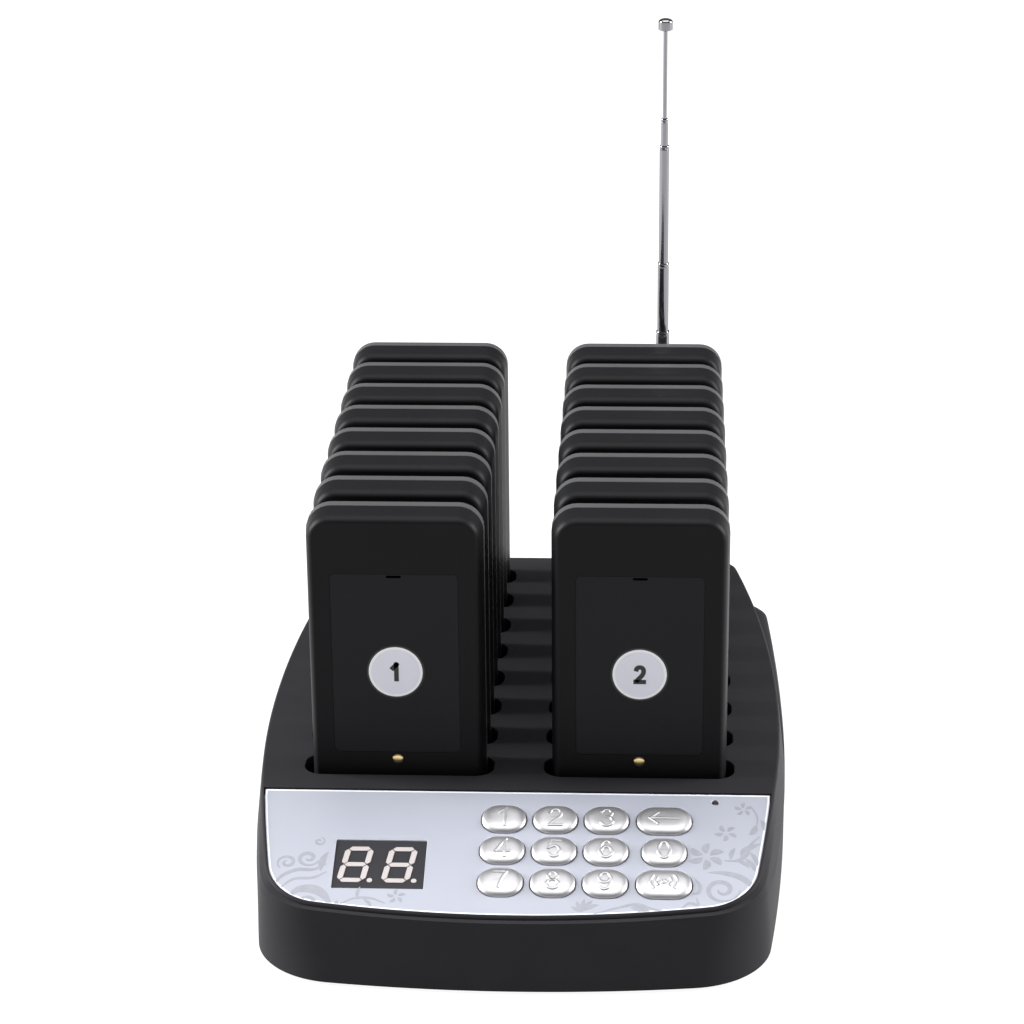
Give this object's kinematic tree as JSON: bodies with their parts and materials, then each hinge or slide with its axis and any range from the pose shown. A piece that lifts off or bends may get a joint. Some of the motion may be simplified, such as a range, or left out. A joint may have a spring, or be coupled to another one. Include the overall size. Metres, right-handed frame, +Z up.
{
  "type": "guest paging set",
  "caption": "Countertop charging and calling base with a sloped keypad, plug-in pagers in two columns and a telescopic antenna.",
  "frame": {"origin": "centre of the base's footprint, on the surface that it stands on", "axes": "+Z up, the keypad faces -Y, +X to the right of a person at the keypad"},
  "size_m": [0.1632, 0.235, 0.2297],
  "materials": {
    "base_plastic": "fine matt texture",
    "bottom_plastic": "matt",
    "rubber_foot": "matt",
    "screw_steel": "plated",
    "panel_print": "satin silver-blue with a faint grey print",
    "display_face": "dark grey filled face",
    "segment_pale": "unlit diffuser",
    "led_dark": "unlit tinted epoxy",
    "circuit_board": "green solder mask",
    "silicone": "matt",
    "tray_plastic": "matt",
    "contact_gold": "gold plated",
    "shield_steel": "tinned",
    "jack_plastic": "matt",
    "key_silver": "satin metal plating on plastic",
    "chrome": "polished",
    "pager_plastic": "fine matt texture",
    "pager_rear": "fine matt texture",
    "lens_smoke": "smoked, semi-gloss",
    "battery_foil": "foil pouch",
    "motor_steel": "plated",
    "sticker_white": "pale label with a white ring"
  },
  "bodies": {
    "base": {"base_cover": "base_plastic", "base_bottom": "bottom_plastic", "rubber_feet": "rubber_foot", "case_screws": "screw_steel", "front_panel": "panel_print", "display_module": "display_face", "display_segments": "segment_pale", "indicator_led": "led_dark", "control_board": "circuit_board", "keypad_pad": "silicone", "slot_trays": "tray_plastic", "charge_boards": "circuit_board", "charge_pins": "contact_gold", "radio_module": "shield_steel", "dc_jack": "jack_plastic", "antenna_socket": "base_plastic"},
    "key_1_cap": {"key_1": "key_silver"},
    "key_2_cap": {"key_2": "key_silver"},
    "key_3_cap": {"key_3": "key_silver"},
    "key_4_cap": {"key_4": "key_silver"},
    "key_5_cap": {"key_5": "key_silver"},
    "key_6_cap": {"key_6": "key_silver"},
    "key_7_cap": {"key_7": "key_silver"},
    "key_8_cap": {"key_8": "key_silver"},
    "key_9_cap": {"key_9": "key_silver"},
    "key_delete_cap": {"key_delete": "key_silver"},
    "key_0_cap": {"key_0": "key_silver"},
    "key_call_cap": {"key_call": "key_silver"},
    "pager_1_body": {"pager_1_front_shell": "pager_plastic", "pager_1_rear_shell": "pager_rear", "pager_1_lens": "lens_smoke", "pager_1_board": "circuit_board", "pager_1_battery": "battery_foil", "pager_1_motor": "motor_steel", "pager_1_contacts": "contact_gold", "pager_1_sticker": "sticker_white"},
    "pager_2_body": {"pager_2": "pager_plastic"},
    "pager_3_body": {"pager_3": "pager_plastic"},
    "pager_4_body": {"pager_4": "pager_plastic"},
    "pager_5_body": {"pager_5": "pager_plastic"},
    "pager_6_body": {"pager_6": "pager_plastic"},
    "pager_7_body": {"pager_7": "pager_plastic"},
    "pager_8_body": {"pager_8": "pager_plastic"},
    "pager_9_body": {"pager_9": "pager_plastic"},
    "pager_10_body": {"pager_10": "pager_plastic"},
    "pager_11_body": {"pager_11": "pager_plastic"},
    "pager_12_body": {"pager_12": "pager_plastic"},
    "pager_13_body": {"pager_13": "pager_plastic"},
    "pager_14_body": {"pager_14": "pager_plastic"},
    "pager_15_body": {"pager_15": "pager_plastic"},
    "pager_16_body": {"pager_16": "pager_plastic"},
    "antenna_swivel": {"antenna_yoke": "chrome", "antenna_hinge_pin": "screw_steel"},
    "antenna_arm": {"antenna_knuckle": "chrome", "antenna_tube_1": "chrome"},
    "antenna_stage_2": {"antenna_tube_2": "chrome"},
    "antenna_stage_3": {"antenna_tube_3": "chrome"},
    "antenna_stage_4": {"antenna_tube_4": "chrome"},
    "antenna_stage_5": {"antenna_rod": "chrome", "antenna_tip": "chrome"}
  },
  "joints": [
    {"name": "key_1_press", "type": "slide", "parent": "base", "child": "key_1_cap", "axis": [0, 0.2924, -0.9563], "range_m": [0, 0.001], "stiffness_N_per_m": 600},
    {"name": "key_2_press", "type": "slide", "parent": "base", "child": "key_2_cap", "axis": [0, 0.2924, -0.9563], "range_m": [0, 0.001], "stiffness_N_per_m": 600},
    {"name": "key_3_press", "type": "slide", "parent": "base", "child": "key_3_cap", "axis": [0, 0.2924, -0.9563], "range_m": [0, 0.001], "stiffness_N_per_m": 600},
    {"name": "key_4_press", "type": "slide", "parent": "base", "child": "key_4_cap", "axis": [0, 0.2924, -0.9563], "range_m": [0, 0.001], "stiffness_N_per_m": 600},
    {"name": "key_5_press", "type": "slide", "parent": "base", "child": "key_5_cap", "axis": [0, 0.2924, -0.9563], "range_m": [0, 0.001], "stiffness_N_per_m": 600},
    {"name": "key_6_press", "type": "slide", "parent": "base", "child": "key_6_cap", "axis": [0, 0.2924, -0.9563], "range_m": [0, 0.001], "stiffness_N_per_m": 600},
    {"name": "key_7_press", "type": "slide", "parent": "base", "child": "key_7_cap", "axis": [0, 0.2924, -0.9563], "range_m": [0, 0.001], "stiffness_N_per_m": 600},
    {"name": "key_8_press", "type": "slide", "parent": "base", "child": "key_8_cap", "axis": [0, 0.2924, -0.9563], "range_m": [0, 0.001], "stiffness_N_per_m": 600},
    {"name": "key_9_press", "type": "slide", "parent": "base", "child": "key_9_cap", "axis": [0, 0.2924, -0.9563], "range_m": [0, 0.001], "stiffness_N_per_m": 600},
    {"name": "key_delete_press", "type": "slide", "parent": "base", "child": "key_delete_cap", "axis": [0, 0.2924, -0.9563], "range_m": [0, 0.001], "stiffness_N_per_m": 600},
    {"name": "key_0_press", "type": "slide", "parent": "base", "child": "key_0_cap", "axis": [0, 0.2924, -0.9563], "range_m": [0, 0.001], "stiffness_N_per_m": 600},
    {"name": "key_call_press", "type": "slide", "parent": "base", "child": "key_call_cap", "axis": [0, 0.2924, -0.9563], "range_m": [0, 0.001], "stiffness_N_per_m": 600},
    {"name": "pager_1_lift", "type": "slide", "parent": "base", "child": "pager_1_body", "axis": [0, 0, 1], "range_m": [0, 0.11]},
    {"name": "pager_2_lift", "type": "slide", "parent": "base", "child": "pager_2_body", "axis": [0, 0, 1], "range_m": [0, 0.11]},
    {"name": "pager_3_lift", "type": "slide", "parent": "base", "child": "pager_3_body", "axis": [0, 0, 1], "range_m": [0, 0.11]},
    {"name": "pager_4_lift", "type": "slide", "parent": "base", "child": "pager_4_body", "axis": [0, 0, 1], "range_m": [0, 0.11]},
    {"name": "pager_5_lift", "type": "slide", "parent": "base", "child": "pager_5_body", "axis": [0, 0, 1], "range_m": [0, 0.11]},
    {"name": "pager_6_lift", "type": "slide", "parent": "base", "child": "pager_6_body", "axis": [0, 0, 1], "range_m": [0, 0.11]},
    {"name": "pager_7_lift", "type": "slide", "parent": "base", "child": "pager_7_body", "axis": [0, 0, 1], "range_m": [0, 0.11]},
    {"name": "pager_8_lift", "type": "slide", "parent": "base", "child": "pager_8_body", "axis": [0, 0, 1], "range_m": [0, 0.11]},
    {"name": "pager_9_lift", "type": "slide", "parent": "base", "child": "pager_9_body", "axis": [0, 0, 1], "range_m": [0, 0.11]},
    {"name": "pager_10_lift", "type": "slide", "parent": "base", "child": "pager_10_body", "axis": [0, 0, 1], "range_m": [0, 0.11]},
    {"name": "pager_11_lift", "type": "slide", "parent": "base", "child": "pager_11_body", "axis": [0, 0, 1], "range_m": [0, 0.11]},
    {"name": "pager_12_lift", "type": "slide", "parent": "base", "child": "pager_12_body", "axis": [0, 0, 1], "range_m": [0, 0.11]},
    {"name": "pager_13_lift", "type": "slide", "parent": "base", "child": "pager_13_body", "axis": [0, 0, 1], "range_m": [0, 0.11]},
    {"name": "pager_14_lift", "type": "slide", "parent": "base", "child": "pager_14_body", "axis": [0, 0, 1], "range_m": [0, 0.11]},
    {"name": "pager_15_lift", "type": "slide", "parent": "base", "child": "pager_15_body", "axis": [0, 0, 1], "range_m": [0, 0.11]},
    {"name": "pager_16_lift", "type": "slide", "parent": "base", "child": "pager_16_body", "axis": [0, 0, 1], "range_m": [0, 0.11]},
    {"name": "antenna_turn", "type": "hinge", "parent": "base", "child": "antenna_swivel", "pos_m": [0.042, 0.1083, 0.0458], "axis": [0, 0, 1], "range_deg": [-90, 90]},
    {"name": "antenna_tilt", "type": "hinge", "parent": "antenna_swivel", "child": "antenna_arm", "pos_m": [0.042, 0.1083, 0.0458], "axis": [-1, 0, 0], "range_deg": [0, 90]},
    {"name": "antenna_stage_2_slide", "type": "slide", "parent": "antenna_arm", "child": "antenna_stage_2", "axis": [0, 0, 1], "range_m": [-0.023, 0.037]},
    {"name": "antenna_stage_3_slide", "type": "slide", "parent": "antenna_stage_2", "child": "antenna_stage_3", "axis": [0, 0, 1], "range_m": [-0.039, 0.0195]},
    {"name": "antenna_stage_4_slide", "type": "slide", "parent": "antenna_stage_3", "child": "antenna_stage_4", "axis": [0, 0, 1], "range_m": [-0.0085, 0.048]},
    {"name": "antenna_stage_5_slide", "type": "slide", "parent": "antenna_stage_4", "child": "antenna_stage_5", "axis": [0, 0, 1], "range_m": [-0.0285, 0.0275]}
  ]
}
